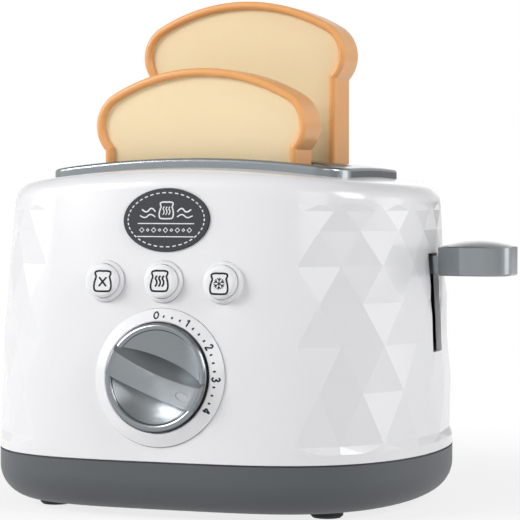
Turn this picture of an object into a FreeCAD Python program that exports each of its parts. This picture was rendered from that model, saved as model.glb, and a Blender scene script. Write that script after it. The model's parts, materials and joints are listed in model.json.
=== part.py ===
"""Toy pop-up toaster with a faceted housing, two play bread slices and a wind-up dial.

Millimetres, +Z up. The dial side faces -Y and the lever end faces +X. The pieces are drawn round
the middle of the housing's plan, and each finished one is then set over by housing_x and housing_y,
which puts the origin on the floor under the middle of the whole toy, lever and dial included.
"""
import FreeCAD
import Part
import math
import os
import re

os.makedirs("parts", exist_ok=True)
doc = FreeCAD.newDocument("toy_toaster")
Vec = FreeCAD.Vector
Place = FreeCAD.Placement
Turn = FreeCAD.Rotation
X_AXIS, Y_AXIS, Z_AXIS = Vec(1, 0, 0), Vec(0, 1, 0), Vec(0, 0, 1)

# ---------------------------------------------------------------- driving dimensions
CELLS = {
    # the housing's middle, seen from the middle of the whole toy
    "housing_x": -16.1,
    "housing_y": 2.7,
    # plan of the housing at the seam, and how it draws in towards the top
    "half_length": 100.0,
    "half_depth": 85.4,
    "end_power": 3.61,
    "front_power": 2.13,
    "length_lean": -0.9,
    "length_bow": 4.9,
    "depth_lean": 9.5,
    "depth_bow": 2.0,
    "seam_height": 25.0,
    "crown_height": 149.4,
    "crown_radius_long": 470.0,
    "crown_radius_deep": 1000.0,
    "shoulder_radius": 9.0,
    "shell_wall": 3.6,
    "facet_overlap": 0.08,
    "facet_recess": 0.1,
    "facet_relief": 1.1,
    # grey base
    "foot_height": 3.0,
    "foot_radius": 7.0,
    "foot_x": 63.0,
    "foot_y": 49.0,
    "tuck_radius": 14.0,
    "base_wall": 3.0,
    "shadow_gap": 0.8,
    "lip_height": 3.0,
    "lip_wall": 2.0,
    "fit_gap": 0.2,
    # screws and their posts
    "post_radius": 5.0,
    "post_inset": 14.0,
    "post_depth_share": 0.62,
    "post_height": 30.0,
    "screw_radius": 1.3,
    "screw_head_radius": 3.0,
    "screw_head_height": 2.2,
    "screw_gap": 0.05,
    # top trim, bread slots and wells
    "trim_half_length": 69.0,
    "trim_half_depth": 46.5,
    "trim_corner": 13.0,
    "trim_thickness": 4.1,
    "trim_edge": 1.5,
    "slot_half_length": 62.5,
    "slot_half_width": 13.75,
    "slot_centre": 27.5,
    "slot_corner": 4.0,
    "well_wall": 1.6,
    "well_bottom": 58.0,
    "well_gap": 0.9,
    # bread slices
    "slice_half_width": 49.3,
    "slice_neck": 45.0,
    "slice_height": 92.0,
    "slice_thickness": 21.6,
    "slice_bulge_drop": 25.0,
    "slice_bulge_radius": 16.0,
    "slice_foot_radius": 6.0,
    "slice_offset": 2.0,
    "slice_rise": 33.3,
    "crust_wall": 3.6,
    "crust_edge": 1.7,
    "crumb_thickness": 2.0,
    "crumb_recess": 1.0,
    # carriage, lever and guide rods
    "shelf_top": 100.0,
    "shelf_thickness": 3.0,
    "shelf_half_width": 3.0,
    "finger_half_length": 9.0,
    "shelf_slot_gap": 1.0,
    "lever_travel": 33.0,
    "rod_x": 73.0,
    "rod_y": 14.0,
    "rod_radius": 1.75,
    "rod_fit": 0.05,
    "sleeve_radius": 5.0,
    "sleeve_height": 16.0,
    "yoke_thickness": 8.0,
    "yoke_height": 9.0,
    "yoke_half_width": 34.0,
    "arm_half_width": 3.5,
    "arm_height": 8.0,
    "arm_bottom": 102.0,
    "lever_slot_half_width": 7.0,
    "lever_slot_gap": 1.0,
    "knob_start": 100.6,
    "knob_end": 132.3,
    "knob_half_width": 15.0,
    "knob_neck_half_width": 9.0,
    "knob_flare": 11.0,
    "knob_corner": 10.0,
    "knob_bottom": 101.5,
    "knob_rim_height": 12.2,
    "knob_crown_rise": 2.9,
    "knob_socket": 12.0,
    "rod_boss_radius": 4.5,
    "rod_boss_top": 14.0,
    "rod_top": 134.0,
    "rod_bottom": 7.0,
    "return_coil_radius": 3.3,
    "return_wire_radius": 0.45,
    # dial
    "dial_height": 60.0,
    "dial_seat_depth": 1.2,
    "ring_radius": 29.1,
    "ring_edge": 0.6,
    "ring_hole_radius": 23.35,
    "ring_lip": 0.8,
    "ring_proud": 3.2,
    "knob_radius": 22.65,
    "knob_proud": 4.6,
    "rim_width": 3.05,
    "rim_rise": 1.0,
    "bowl_depth": 5.5,
    "bowl_wall": 1.5,
    "grip_proud": 3.2,
    "grip_dip": 1.2,
    "grip_crest_middle": -1.0,
    "grip_crest_end": 4.0,
    "grip_foot_middle": -7.7,
    "grip_foot_end": -6.6,
    "grip_roll": 2.4,
    "grip_angle": -21.0,
    "marker_out": 15.2,
    "marker_down": 2.85,
    "marker_half_length": 3.2,
    "marker_half_width": 1.45,
    "dial_opening": 17.0,
    "shaft_radius": 3.0,
    "shaft_end": 27.0,
    "timer_radius": 19.0,
    "timer_front": 9.0,
    "timer_back": 23.0,
    "timer_boss_spread": 24.0,
    # push buttons
    "button_height": 100.0,
    "button_pitch": 26.7,
    "bezel_radius": 8.8,
    "bezel_hole_radius": 7.35,
    "bezel_seat_depth": 0.8,
    "bezel_edge": 1.0,
    "bezel_proud": 2.0,
    "cap_radius": 7.15,
    "cap_proud": 4.8,
    "cap_rounding": 1.6,
    "stem_radius": 2.5,
    "flange_radius": 8.1,
    "guide_plate_depth": 11.0,
    "guide_plate_thickness": 1.6,
    "button_coil_radius": 4.0,
    "button_wire_radius": 0.35,
    # badge
    "badge_height": 126.0,
    "badge_half_width": 19.4,
    "badge_half_height": 13.4,
    "badge_seat_depth": 0.7,
    "badge_proud": 0.8,
    # latch
    "latch_y": 21.0,
    "latch_x": 86.0,
    "latch_pivot_height": 18.0,
    "latch_pin_radius": 1.5,
    "latch_open_angle": 6.0,
    "latch_half_width": 1.7,
    "catch_reach": 5.0,
    "catch_thickness": 3.0,
    "run_gap": 0.3,
}
sheet = doc.addObject("Spreadsheet::Sheet", "dims")
for row, (alias, value) in enumerate(CELLS.items(), start=1):
    sheet.set("A%d" % row, alias)
    sheet.set("B%d" % row, str(value))
    sheet.setAlias("B%d" % row, alias)
doc.recompute()
WORKED = {}
WORD = re.compile(r"\b(" + "|".join(CELLS) + r")\b")


def size(name):
    """The present value of one cell of the sheet."""
    return float(getattr(sheet, name))


def amount(formula):
    """The value in millimetres of a formula over the cells, worked out by the sheet."""
    if str(formula) not in WORKED:
        sheet.set("D1", "=" + str(formula))
        sheet.recompute()
        WORKED[str(formula)] = float(sheet.get("D1"))
    return WORKED[str(formula)]


def bind(thing, prop, formula):
    """Tie a property to a formula written in the sheet's words."""
    thing.setExpression(prop, WORD.sub(r"dims.\1", str(formula)))


NODES = []


def node(thing, label):
    """Set a finished sub-part into the toy's frame; its label names its file."""
    placed = doc.addObject("Part::Compound", label + "_placed")
    placed.Links = [thing]
    bind(placed, "Placement.Base.x", "housing_x")
    bind(placed, "Placement.Base.y", "housing_y")
    placed.Label = label
    NODES.append(placed)


# ---------------------------------------------------------------- primitives and booleans
def place(thing, x, y, z):
    for axis, formula in zip("xyz", (x, y, z)):
        bind(thing, "Placement.Base." + axis, formula)


def box(name, low, high):
    """A block between two corners, each given as three formulas."""
    thing = doc.addObject("Part::Box", name)
    for prop, start, stop in zip(("Length", "Width", "Height"), low, high):
        bind(thing, prop, "(%s) - (%s)" % (stop, start))
    place(thing, *low)
    return thing


def rod(name, radius, length, x, y, z):
    """An upright cylinder standing on (x, y, z)."""
    thing = doc.addObject("Part::Cylinder", name)
    bind(thing, "Radius", radius)
    bind(thing, "Height", length)
    place(thing, x, y, z)
    return thing


def cross_rod(name, radius, length, x, y, z):
    """A cylinder along +Y starting at (x, y, z)."""
    thing = rod(name, radius, length, x, y, z)
    thing.Placement.Rotation = Turn(X_AXIS, -90)
    return thing


def fuse(name, things):
    thing = doc.addObject("Part::MultiFuse", name)
    thing.Shapes = list(things)
    return thing


def cut(name, base, tools):
    thing = doc.addObject("Part::Cut", name)
    thing.Base = base
    thing.Tool = tools[0] if len(tools) == 1 else fuse(name + "_tools", tools)
    return thing


def common(name, first, second):
    thing = doc.addObject("Part::MultiCommon", name)
    thing.Shapes = [first, second]
    return thing


def fixed(name, shape):
    """A shape made in code, for forms that no feature draws."""
    thing = doc.addObject("Part::Feature", name)
    thing.Shape = shape
    return thing


def round_edges(name, base, radius, chosen):
    """Fillet the edges of base that the test picks out."""
    doc.recompute()
    thing = doc.addObject("Part::Fillet", name)
    thing.Base = base
    thing.Edges = [(index, size(radius), size(radius))
                   for index, edge in enumerate(base.Shape.Edges, start=1) if chosen(edge)]
    return thing


# ---------------------------------------------------------------- sketched bodies
def origin_plane(body, role):
    return [item for item in body.Origin.OriginFeatures if item.Role == role][0]


def outline_sketch(body, name, role, points):
    """A closed polygon whose corners are tied to pairs of formulas."""
    import Sketcher
    sketch = body.newObject("Sketcher::SketchObject", name)
    sketch.AttachmentSupport = [(origin_plane(body, role), "")]
    sketch.MapMode = "FlatFace"
    spots = [Vec(amount(u), amount(v), 0) for u, v in points]
    count = len(spots)
    for index in range(count):
        sketch.addGeometry(Part.LineSegment(spots[index], spots[(index + 1) % count]))
    for index in range(count):
        sketch.addConstraint(Sketcher.Constraint("Coincident", index, 2, (index + 1) % count, 1))
    for index, (u, v) in enumerate(points):
        for kind, formula, flat in (("DistanceX", u, spots[index].x), ("DistanceY", v, spots[index].y)):
            if abs(flat) < 1e-9:
                on_axis = -2 if kind == "DistanceX" else -1
                sketch.addConstraint(Sketcher.Constraint("PointOnObject", index, 1, on_axis))
                continue
            number = sketch.addConstraint(Sketcher.Constraint(kind, -1, 1, index, 1, flat))
            bind(sketch, "Constraints[%d]" % number, formula)
    return sketch


def turned(name, points, where=None):
    """A piece turned about its own Z axis from a half section of (radius, height) formulas."""
    body = doc.addObject("PartDesign::Body", name)
    sketch = outline_sketch(body, name + "_section", "XZ_Plane", points)
    turn = body.newObject("PartDesign::Revolution", name + "_turn")
    turn.Profile = sketch
    turn.ReferenceAxis = (sketch, ["V_Axis"])
    turn.Angle = 360.0
    if where is not None:
        body.Placement = where
    return body


def plate(name, points, length, where=None):
    """A sketched outline padded along +Z from the XY plane of the body."""
    body = doc.addObject("PartDesign::Body", name)
    sketch = outline_sketch(body, name + "_outline", "XY_Plane", points)
    pad = body.newObject("PartDesign::Pad", name + "_pad")
    pad.Profile = sketch
    bind(pad, "Length", length)
    if where is not None:
        body.Placement = where
    return body


def dress(body, kind, name, radius, chosen):
    """Add a fillet or chamfer to the body's tip on the edges that the test picks out."""
    doc.recompute()
    tip = body.Tip
    names = ["Edge%d" % index for index, edge in enumerate(tip.Shape.Edges, start=1) if chosen(edge)]
    feature = body.newObject("PartDesign::" + kind, name)
    feature.Base = (tip, names)
    bind(feature, "Radius" if kind == "Fillet" else "Size", radius)
    return feature


def mid(edge):
    """The middle of an edge's box, in the frame of the shape."""
    return edge.BoundBox.Center


def level(edge, height):
    """True for an edge that lies in the plane z = height."""
    return abs(edge.BoundBox.ZMin - height) < 0.01 and abs(edge.BoundBox.ZMax - height) < 0.01


# ---------------------------------------------------------------- form of the housing
def half_length_at(z):
    rise = (z - size("seam_height")) / 100.0
    return size("half_length") - size("length_lean") * rise - size("length_bow") * rise ** 2


def half_depth_at(z):
    rise = (z - size("seam_height")) / 100.0
    return size("half_depth") - size("depth_lean") * rise - size("depth_bow") * rise ** 2


def face_tilt(z):
    """Lean of the front face at a height, in degrees from upright."""
    rise = (z - size("seam_height")) / 100.0
    return math.degrees(math.atan((size("depth_lean") + 2 * size("depth_bow") * rise) / 100.0))


def end_share(depth_share):
    """Share of the half length reached where the plan has this share of the half depth."""
    return (1.0 - abs(depth_share) ** size("front_power")) ** (1.0 / size("end_power"))


def depth_share(length_share):
    return (1.0 - abs(length_share) ** size("end_power")) ** (1.0 / size("front_power"))


QUARTER = [(share, depth_share(share)) for share in (0.0, 0.2, 0.4, 0.58, 0.74)]
QUARTER += [(end_share(share), share) for share in (0.68, 0.46, 0.23)]
RING_OF_STATIONS = [(x, -y) for x, y in QUARTER]
RING_OF_STATIONS += [(1.0, 0.0)] + [(x, y) for x, y in reversed(QUARTER)]
RING_OF_STATIONS += [(-x, y) for x, y in QUARTER[1:]]
RING_OF_STATIONS += [(-1.0, 0.0)] + [(-x, -y) for x, y in reversed(QUARTER[1:])]


def plan_wire(z, inset, plan_z=None):
    """Closed smooth outline of the housing at a height, drawn in by an inset."""
    plan_z = z if plan_z is None else plan_z
    long, deep = half_length_at(plan_z) - inset, half_depth_at(plan_z) - inset
    curve = Part.BSplineCurve()
    curve.interpolate([Vec(x * long, y * deep, z) for x, y in RING_OF_STATIONS], PeriodicFlag=True)
    first, last = curve.FirstParameter, curve.LastParameter
    quarters = [first + (last - first) * k / 4 for k in range(5)]
    return Part.Wire([curve.toShape(quarters[k], quarters[k + 1]) for k in range(4)])


def tapered_block(inset, bottom, top):
    """Solid between two heights that follows the housing's sides."""
    heights = (bottom, (bottom + top) / 2, top)
    return Part.makeLoft([plan_wire(z, inset) for z in heights], True, False)


def crown_block(top):
    """Solid under a gently doubly curved crown whose summit is at the given height."""
    long, deep = size("crown_radius_long"), size("crown_radius_deep")
    reach = 1.3 * size("half_length")
    edge_z = top - long + math.sqrt(long ** 2 - reach ** 2)
    low = top - 3 * size("crown_height")
    corners = [Vec(reach, 0, edge_z), Vec(reach, 0, low), Vec(-reach, 0, low), Vec(-reach, 0, edge_z)]
    edges = [Part.Arc(corners[3], Vec(0, 0, top), corners[0]).toShape()]
    edges += [Part.makeLine(corners[k], corners[k + 1]) for k in range(3)]
    section = Part.Face(Part.Wire(edges))
    swing = math.degrees(1.4 * size("half_depth") / deep)
    section.rotate(Vec(0, 0, top - deep), X_AXIS, -swing)
    return section.revolve(Vec(0, 0, top - deep), X_AXIS, 2 * swing)


def is_shoulder(edge):
    """The edges where the crown meets the sides."""
    return edge.BoundBox.ZMin > size("seam_height") + 50


def housing_solid(inset, bottom, shoulder):
    top = size("crown_height") + 12
    raw = tapered_block(inset, bottom, top).common(crown_block(size("crown_height") - inset))
    return raw.makeFillet(shoulder, [edge for edge in raw.Edges if is_shoulder(edge)])


# Facets: rows of points on the sides, joined by flat triangles. Even rows have a point on
# the lever axis; odd rows lie half a step between. Heights grow wider apart towards the seam.
FACET_HEIGHTS = (132.8, 121.3, 106.6, 91.0, 73.2, 53.8, 32.3)
TOP_LEDGE_HEIGHT = 129.8
BAND_HEIGHT = 29.0
EVEN_SHARES = (-0.93, -0.81, -0.605, -0.315, 0.0, 0.315, 0.605, 0.81, 0.93)
ODD_SHARES = (-0.88, -0.72, -0.467, -0.15, 0.15, 0.467, 0.72, 0.88)
LAST = len(FACET_HEIGHTS) - 1


def side_point(z, share, inset):
    """A point of the +X end at a height and share of the half depth, drawn in by an inset."""
    long, deep = half_length_at(z) - inset, half_depth_at(z) - inset
    return Vec(long * end_share(share), deep * share, z)


# Share of the full relief at each step from the border: a valley, a ridge, a deep valley, a rise.
FACET_SWING = (0.0, 0.55, 0.0, 1.0, 0.5)


def facet_inset(row, column, count):
    """How far a facet point lies under the smooth side; points on the border stand just outside."""
    step = min(column, count - 1 - column)
    if row == 0 or step == 0:
        return -size("facet_overlap")
    return size("facet_recess") + size("facet_relief") * FACET_SWING[step]


def facet_points(outward):
    """Named corner points of the facet skin, all moved outward by a distance."""
    spots = {}
    for row, z in enumerate(FACET_HEIGHTS):
        shares = ODD_SHARES if row % 2 else EVEN_SHARES
        for column, share in enumerate(shares):
            inset = facet_inset(row, column, len(shares))
            spots[row, column] = side_point(z, share, inset - outward)
    edge = -size("facet_overlap") - outward
    part = (FACET_HEIGHTS[0] - TOP_LEDGE_HEIGHT) / (FACET_HEIGHTS[0] - FACET_HEIGHTS[1])
    for column, share in enumerate(EVEN_SHARES):
        spots["band", column] = side_point(BAND_HEIGHT, share, edge)
    for column in range(len(ODD_SHARES)):
        share = (EVEN_SHARES[column] + EVEN_SHARES[column + 1]) / 2
        spots["crest", column] = side_point(FACET_HEIGHTS[0], share, edge)
        spots["foot", column] = side_point(BAND_HEIGHT, share, edge)
        low = spots[1, column]
        for name, step in (("left", 0), ("right", 1)):
            high = spots[0, column + step]
            spots[name, column] = high + (low - high) * part
    return spots


def facet_outlines():
    """The flat faces of the facet skin, as lists of point names."""
    outlines = []
    for c in range(len(ODD_SHARES)):
        outlines += [[("left", c), (1, c), ("right", c)], [(0, c), ("left", c), ("crest", c)],
                     [("left", c), ("right", c), ("crest", c)],
                     [("right", c), (0, c + 1), ("crest", c)],
                     [(LAST, c), ("band", c), ("foot", c)], [(LAST, c), ("foot", c), (LAST, c + 1)],
                     [(LAST, c + 1), ("foot", c), ("band", c + 1)]]
        if c:
            outlines.append([(0, c), ("left", c), (1, c), (1, c - 1), ("right", c - 1)])
        for row in range(1, LAST):
            even, odd = (row + 1, row) if row % 2 else (row, row + 1)
            outlines.append([(even, c), (odd, c), (even, c + 1)])
            if c:
                outlines.append([(odd, c - 1), (odd, c), (even, c)])
    return outlines


def facet_cutter():
    """Solid outside the facets of the +X end: facet skin, offset outer skin and side walls."""
    inner, outer = facet_points(0.0), facet_points(6.0)
    faces, uses = [], {}
    for outline in facet_outlines():
        for spots in (inner, outer):
            faces.append(Part.Face(Part.makePolygon([spots[name] for name in outline + outline[:1]])))
        for a, b in zip(outline, outline[1:] + outline[:1]):
            key = frozenset((a, b))
            uses[key] = uses.get(key, 0) + 1
    for a, b in (tuple(key) for key, count in uses.items() if count == 1):
        faces.append(Part.Face(Part.makePolygon([inner[a], inner[b], outer[b], inner[a]])))
        faces.append(Part.Face(Part.makePolygon([inner[a], outer[b], outer[a], inner[a]])))
    shell = Part.makeShell(faces)
    shell.sewShape()
    return Part.makeSolid(Part.makeSolid(Part.Shell(shell.Faces)).Shells[0])


# ---------------------------------------------------------------- places on the front face
def face_place(z, x=0.0, out=0.0):
    """Frame on the front face at a height: X to the right, Y up the face, Z straight out."""
    tilt = face_tilt(z)
    frame = Place(Vec(x, -half_depth_at(z), z), Turn(X_AXIS, 90 - tilt))
    return frame.multiply(Place(Vec(0, 0, out), Turn()))


def face_rod(name, radius, start, stop, z, x=0.0, y=0.0):
    """A cylinder straight out of the front face, from start to stop along its normal."""
    thing = doc.addObject("Part::Cylinder", name)
    bind(thing, "Radius", radius)
    bind(thing, "Height", "(%s) - (%s)" % (stop, start))
    thing.Placement = face_place(z, x).multiply(Place(Vec(0, y, amount(start)), Turn()))
    return thing


WIRE_SIDES = 8


def spring(label, coil, wire, turns, places, length):
    """Helical wire springs, one for each place, that reach up from it by the length."""
    rise = length - 2 * wire
    along = Vec(0, 2 * math.pi * coil, rise / turns).normalize()
    across = along.cross(Vec(1, 0, 0))
    corners = [math.radians(360 * k / WIRE_SIDES) for k in range(WIRE_SIDES + 1)]
    section = Part.makePolygon([Vec(coil + wire * math.cos(a), 0, 0) + across * (wire * math.sin(a))
                                for a in corners])
    helix = Part.Wire(Part.makeHelix(rise / turns, rise, coil).Edges)
    coil_solid = helix.makePipeShell([section], True, True)
    solids = [coil_solid.transformed(spot.multiply(Place(Vec(0, 0, wire), Turn())).toMatrix())
              for spot in places]
    node(fixed(label + "_coils", solids[0] if len(solids) == 1 else Part.Compound(solids)), label)


# ---------------------------------------------------------------- housing shell
DIAL_Z = size("dial_height")
BUTTON_Z = size("button_height")
BADGE_Z = size("badge_height")
BUTTONS = {"left": -1, "middle": 0, "right": 1}


def post_centres():
    inset, share = size("post_inset"), size("post_depth_share")
    x = (size("half_length") - inset) * end_share(share)
    y = (size("half_depth") - inset) * share
    return [(sx * x, sy * y) for sx in (-1, 1) for sy in (-1, 1)]


def oval_prism(long, high, start, stop, z):
    """Oval block along the face normal at height z."""
    ellipse = Part.Ellipse(Vec(0, 0, 0), long, high).toShape()
    solid = Part.Face(Part.Wire([ellipse])).extrude(Vec(0, 0, stop - start))
    solid.Placement = face_place(z, out=start)
    return solid


def build_housing():
    seam, wall, crown = size("seam_height"), size("shell_wall"), size("crown_height")
    skin = housing_solid(0.0, seam, size("shoulder_radius"))
    cutter = facet_cutter()
    other_end = cutter.mirror(Vec(0, 0, 0), X_AXIS)
    skin = skin.cut(cutter).cut(other_end)
    room = housing_solid(wall, seam - 1, size("shoulder_radius") - wall)
    outer = fixed("housing_skin", skin)
    posts = [rod("post_%d" % k, "post_radius", "post_height", x, y, "seam_height")
             for k, (x, y) in enumerate(post_centres())]
    for k, (x, y) in enumerate(post_centres()):
        inner, beyond = ("%f" % x, "%f + 20" % x) if x > 0 else ("%f - 20" % x, "%f" % x)
        posts.append(box("post_rib_%d" % k, (inner, "%f - 1.2" % y, "seam_height + lip_height + 1"),
                         (beyond, "%f + 1.2" % y, "seam_height + post_height")))
    rod_sockets = [rod("rod_socket_%d" % k, "rod_boss_radius", "crown_height - rod_top + 10",
                       "rod_x", sign + "*rod_y", "rod_top - 10") for k, sign in enumerate(("-1", "1"))]
    bosses = []
    for k, angle in enumerate((90, 210, 330)):
        spread = size("timer_boss_spread")
        x, y = spread * math.cos(math.radians(angle)), spread * math.sin(math.radians(angle))
        bosses.append(face_rod("timer_boss_%d" % k, "3", "-1*timer_front", "-1", DIAL_Z, x, y))
    for k, side in enumerate((-0.5, 0.5)):
        bosses.append(face_rod("plate_boss_%d" % k, "2.6", "-1*guide_plate_depth", "-1", BUTTON_Z,
                               side * size("button_pitch")))
    solid_ribs = fuse("inner_posts", posts + rod_sockets + bosses)
    ribs = common("inner_posts_trimmed", solid_ribs, outer)
    hollow = cut("housing_hollow", outer, [fixed("housing_room", room)])
    whole = fuse("housing_with_posts", [hollow, ribs])
    openings = [
        box("well_opening",
            ("-1*slot_half_length - well_wall - well_gap",
             "-1*slot_centre - slot_half_width - well_wall - well_gap", "crown_height - 20"),
            ("slot_half_length + well_wall + well_gap",
             "slot_centre + slot_half_width + well_wall + well_gap", "crown_height + 5")),
        box("lever_opening",
            ("half_length - 20", "-1*lever_slot_half_width",
             "arm_bottom - lever_travel - lever_slot_gap"),
            ("half_length + 5", "lever_slot_half_width", "arm_bottom + arm_height + lever_slot_gap")),
        face_rod("dial_seat", "ring_radius + fit_gap", "-1*dial_seat_depth", "8", DIAL_Z),
        face_rod("dial_opening_cut", "dial_opening", "-1*shell_wall - 3", "8", DIAL_Z),
        fixed("badge_seat", oval_prism(size("badge_half_width") + size("fit_gap"),
                                       size("badge_half_height") + size("fit_gap"),
                                       -size("badge_seat_depth"), 6.0, BADGE_Z)),
    ]
    for side, sign in BUTTONS.items():
        x = sign * size("button_pitch")
        openings.append(face_rod("bezel_seat_" + side, "bezel_radius + fit_gap",
                                 "-1*bezel_seat_depth", "6", BUTTON_Z, x))
        openings.append(face_rod("cap_hole_" + side, "bezel_hole_radius", "-1*shell_wall - 3", "6",
                                 BUTTON_Z, x))
        openings.append(face_rod("flange_room_" + side, "flange_radius + run_gap",
                                 "-1*guide_plate_depth", "-1*shell_wall", BUTTON_Z, x))
    for k, (x, y) in enumerate(post_centres()):
        openings.append(rod("pilot_%d" % k, "screw_radius + screw_gap", "post_height - 8", x, y,
                            "seam_height"))
    for k, sign in enumerate(("-1", "1")):
        openings.append(rod("rod_hole_%d" % k, "rod_radius + rod_fit", "rod_top + 0.1", "rod_x",
                            sign + "*rod_y", "0"))
    node(cut("housing_shell_cut", whole, openings), "housing_shell")


# ---------------------------------------------------------------- base tray, feet and screws
def build_base():
    seam, wall, bottom = size("seam_height"), size("base_wall"), size("foot_height")

    def tray_block(inset, low, high, radius):
        solid = Part.Face(plan_wire(low, inset, seam)).extrude(Vec(0, 0, high - low))
        if radius:
            solid = solid.makeFillet(radius, [edge for edge in solid.Edges if level(edge, low)])
        return solid

    gap, lip = size("shadow_gap"), size("lip_wall")
    clear = size("shell_wall") + size("fit_gap")
    outer = tray_block(0.0, bottom, seam, size("tuck_radius"))
    rebate = tray_block(-1.0, seam - gap, seam + 1, 0).cut(tray_block(gap, seam - gap, seam + 1, 0))
    room = tray_block(wall + lip, bottom + wall, seam + 1, size("tuck_radius") - wall)
    lip_ring = tray_block(clear, seam - 1, seam + size("lip_height"), 0)
    lip_ring = lip_ring.cut(tray_block(clear + lip, seam - 2, seam + size("lip_height") + 1, 0))
    tray = fixed("tray_shape", outer.cut(rebate).fuse(lip_ring).cut(room))
    bosses = [rod("screw_boss_%d" % k, "post_radius", "seam_height - foot_height - 1", x, y,
                  "foot_height + 1") for k, (x, y) in enumerate(post_centres())]
    for k, sign in enumerate(("-1", "1")):
        bosses.append(rod("rod_boss_%d" % k, "rod_boss_radius", "rod_boss_top - foot_height - 1",
                          "rod_x", sign + "*rod_y", "foot_height + 1"))
    for k, sign in enumerate((-1, 1)):
        low = "latch_y %s latch_half_width %s run_gap" % (("-", "-") if sign < 0 else ("+", "+"))
        start, stop = (low + " - 2", low) if sign < 0 else (low, low + " + 2")
        bosses.append(box("latch_ear_%d" % k, ("latch_x - 4", start, "foot_height + 1"),
                          ("latch_x + 4", stop, "latch_pivot_height + 3.5")))
    notches = [rod("post_notch_%d" % k, "post_radius + fit_gap", "lip_height + 2", x, y, "seam_height")
               for k, (x, y) in enumerate(post_centres())]
    holes = list(notches)
    for k, (x, y) in enumerate(post_centres()):
        holes.append(rod("screw_way_%d" % k, "screw_radius + screw_gap", "seam_height + 2", x, y, "0"))
        holes.append(rod("screw_recess_%d" % k, "screw_head_radius + 0.3",
                         "foot_height + 2 + screw_head_height", x, y, "0"))
    for k, sign in enumerate(("-1", "1")):
        holes.append(rod("rod_seat_%d" % k, "rod_radius + rod_fit", "rod_boss_top", "rod_x",
                         sign + "*rod_y", "rod_bottom"))
    for k, (sx, sy) in enumerate(((-1, -1), (1, -1), (-1, 1), (1, 1))):
        holes.append(rod("foot_socket_%d" % k, "2.5", "foot_height + base_wall + 1", "%d*foot_x" % sx,
                         "%d*foot_y" % sy, "0"))
    holes.append(cross_rod("latch_pin_way", "latch_pin_radius", "14", "latch_x", "latch_y - 7",
                           "latch_pivot_height"))
    solid = fuse("tray_with_bosses", [tray] + bosses)
    node(cut("base_tray_cut", solid, holes), "base_tray")


def build_feet():
    """Four rubber feet with push-in stems, kept together as one group."""
    feet = []
    for k, (sx, sy) in enumerate(((-1, -1), (1, -1), (-1, 1), (1, 1))):
        points = [("0", "0"), ("foot_radius - 1", "0"), ("foot_radius", "1"),
                  ("foot_radius", "foot_height"), ("2.45", "foot_height"),
                  ("2.45", "foot_height + base_wall + 0.8"), ("0", "foot_height + base_wall + 0.8")]
        foot = turned("foot_%d" % k, points)
        place(foot, "%d*foot_x" % sx, "%d*foot_y" % sy, "0")
        feet.append(foot)
    group = doc.addObject("Part::Compound", "feet_group")
    group.Links = feet
    node(group, "rubber_feet")


def build_screws():
    """Four screws from below that hold the housing on the base."""
    screws = []
    for k, (x, y) in enumerate(post_centres()):
        head = "foot_height + 2 + screw_head_height"
        points = [("0", head + " - screw_head_height"), ("screw_head_radius", head + " - screw_head_height"),
                  ("screw_head_radius", head), ("screw_radius", head),
                  ("screw_radius", "seam_height + post_height - 10"),
                  ("0", "seam_height + post_height - 9")]
        screw = turned("screw_%d" % k, points, Place(Vec(x, y, 0), Turn()))
        screws.append(screw)
    group = doc.addObject("Part::Compound", "screw_group")
    group.Links = screws
    node(group, "base_screws")


# ---------------------------------------------------------------- trim and wells
def rounded_plate(name, long, deep, corner, low, high, y="0"):
    """An upright block with rounded corners, centred on (0, y)."""
    left, near = "-1*(%s)" % long, "-1*(%s)" % deep
    body = plate(name, [(left, near), (long, near), (long, deep), (left, deep)],
                 "(%s) - (%s)" % (high, low))
    place(body, "0", y, low)
    dress(body, "Fillet", name + "_corners", corner,
          lambda edge: edge.BoundBox.ZLength > 1 and edge.BoundBox.XLength < 0.01)
    return body


def build_trim():
    crown, thick = size("crown_height"), size("trim_thickness")
    over, under = fixed("trim_crown", crown_block(crown + thick)), fixed("trim_under", crown_block(crown))
    blank = rounded_plate("trim_blank", "trim_half_length", "trim_half_depth", "trim_corner",
                          "crown_height - 20", "crown_height + 12")
    domed = common("trim_domed", blank, over)
    slots = [rounded_plate("trim_slot_" + side, "slot_half_length", "slot_half_width", "slot_corner",
                           "crown_height - 25", "crown_height + 15", sign + "*slot_centre")
             for side, sign in (("front", "-1"), ("rear", "1"))]
    plain = cut("trim_plain", domed, [under] + slots)
    limit = crown + thick - size("trim_half_length") ** 2 / size("crown_radius_long")

    def top_rim(edge):
        spot = edge.valueAt((edge.FirstParameter + edge.LastParameter) / 2)
        arch = spot.x ** 2 / (2 * size("crown_radius_long")) + spot.y ** 2 / (2 * size("crown_radius_deep"))
        return abs(crown + thick - arch - spot.z) < 0.2 and edge.BoundBox.ZLength < 6 and spot.z > limit

    node(round_edges("trim_rounded", plain, "trim_edge", top_rim), "top_trim")


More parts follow.
